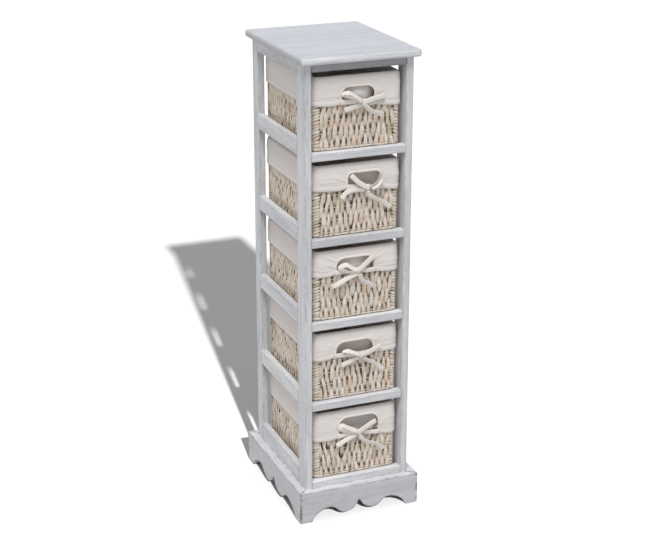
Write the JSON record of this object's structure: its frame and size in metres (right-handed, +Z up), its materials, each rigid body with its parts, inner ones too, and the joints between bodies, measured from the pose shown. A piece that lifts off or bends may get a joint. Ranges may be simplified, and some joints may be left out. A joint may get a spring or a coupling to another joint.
{
  "type": "basket shelf",
  "caption": "Tall narrow wooden shelf with a scalloped plinth and woven, cloth-lined baskets that slide out of the front, for towels and small bathroom things.",
  "frame": {"origin": "on the floor, under the middle of the plinth", "axes": "+Z up, -Y out of the front where the baskets slide out, +X to the right as seen from the front"},
  "size_m": [0.266, 0.326, 0.98],
  "materials": {
    "whitewashed_wood": "worn white wash",
    "bare_wood": "planed",
    "screw_steel": "zinc plated",
    "woven_husk": "woven plant fibre",
    "strip_steel": "satin",
    "cotton": "plain weave",
    "cotton_tape": "twill tape"
  },
  "bodies": {
    "frame": {"top_board": "whitewashed_wood", "post_front_left": "whitewashed_wood", "post_front_right": "whitewashed_wood", "post_back_left": "whitewashed_wood", "post_back_right": "whitewashed_wood", "front_rail_0": "whitewashed_wood", "front_rail_1": "whitewashed_wood", "front_rail_2": "whitewashed_wood", "front_rail_3": "whitewashed_wood", "front_rail_4": "whitewashed_wood", "front_rail_5": "whitewashed_wood", "back_rail_0": "whitewashed_wood", "back_rail_1": "whitewashed_wood", "back_rail_2": "whitewashed_wood", "back_rail_3": "whitewashed_wood", "back_rail_4": "whitewashed_wood", "back_rail_5": "whitewashed_wood", "left_rail_0": "whitewashed_wood", "left_rail_1": "whitewashed_wood", "left_rail_2": "whitewashed_wood", "left_rail_3": "whitewashed_wood", "left_rail_4": "whitewashed_wood", "left_rail_5": "whitewashed_wood", "right_rail_0": "whitewashed_wood", "right_rail_1": "whitewashed_wood", "right_rail_2": "whitewashed_wood", "right_rail_3": "whitewashed_wood", "right_rail_4": "whitewashed_wood", "right_rail_5": "whitewashed_wood", "runners_1": "bare_wood", "runners_2": "bare_wood", "runners_3": "bare_wood", "runners_4": "bare_wood", "runners_5": "bare_wood", "plinth_front": "whitewashed_wood", "plinth_back": "whitewashed_wood", "plinth_left": "whitewashed_wood", "plinth_right": "whitewashed_wood", "wood_screws": "screw_steel"},
    "basket_1": {"basket_1_weave": "woven_husk", "basket_1_strip_frame": "strip_steel", "basket_1_liner": "cotton", "basket_1_tie_bow": "cotton_tape"},
    "basket_2": {"basket_2_weave": "woven_husk", "basket_2_strip_frame": "strip_steel", "basket_2_liner": "cotton", "basket_2_tie_bow": "cotton_tape"},
    "basket_3": {"basket_3_weave": "woven_husk", "basket_3_strip_frame": "strip_steel", "basket_3_liner": "cotton", "basket_3_tie_bow": "cotton_tape"},
    "basket_4": {"basket_4_weave": "woven_husk", "basket_4_strip_frame": "strip_steel", "basket_4_liner": "cotton", "basket_4_tie_bow": "cotton_tape"},
    "basket_5": {"basket_5_weave": "woven_husk", "basket_5_strip_frame": "strip_steel", "basket_5_liner": "cotton", "basket_5_tie_bow": "cotton_tape"}
  },
  "joints": [
    {"name": "basket_1_slide", "type": "slide", "parent": "frame", "child": "basket_1", "axis": [0, -1, 0], "range_m": [0, 0.2]},
    {"name": "basket_2_slide", "type": "slide", "parent": "frame", "child": "basket_2", "axis": [0, -1, 0], "range_m": [0, 0.2]},
    {"name": "basket_3_slide", "type": "slide", "parent": "frame", "child": "basket_3", "axis": [0, -1, 0], "range_m": [0, 0.2]},
    {"name": "basket_4_slide", "type": "slide", "parent": "frame", "child": "basket_4", "axis": [0, -1, 0], "range_m": [0, 0.2]},
    {"name": "basket_5_slide", "type": "slide", "parent": "frame", "child": "basket_5", "axis": [0, -1, 0], "range_m": [0, 0.2]}
  ]
}
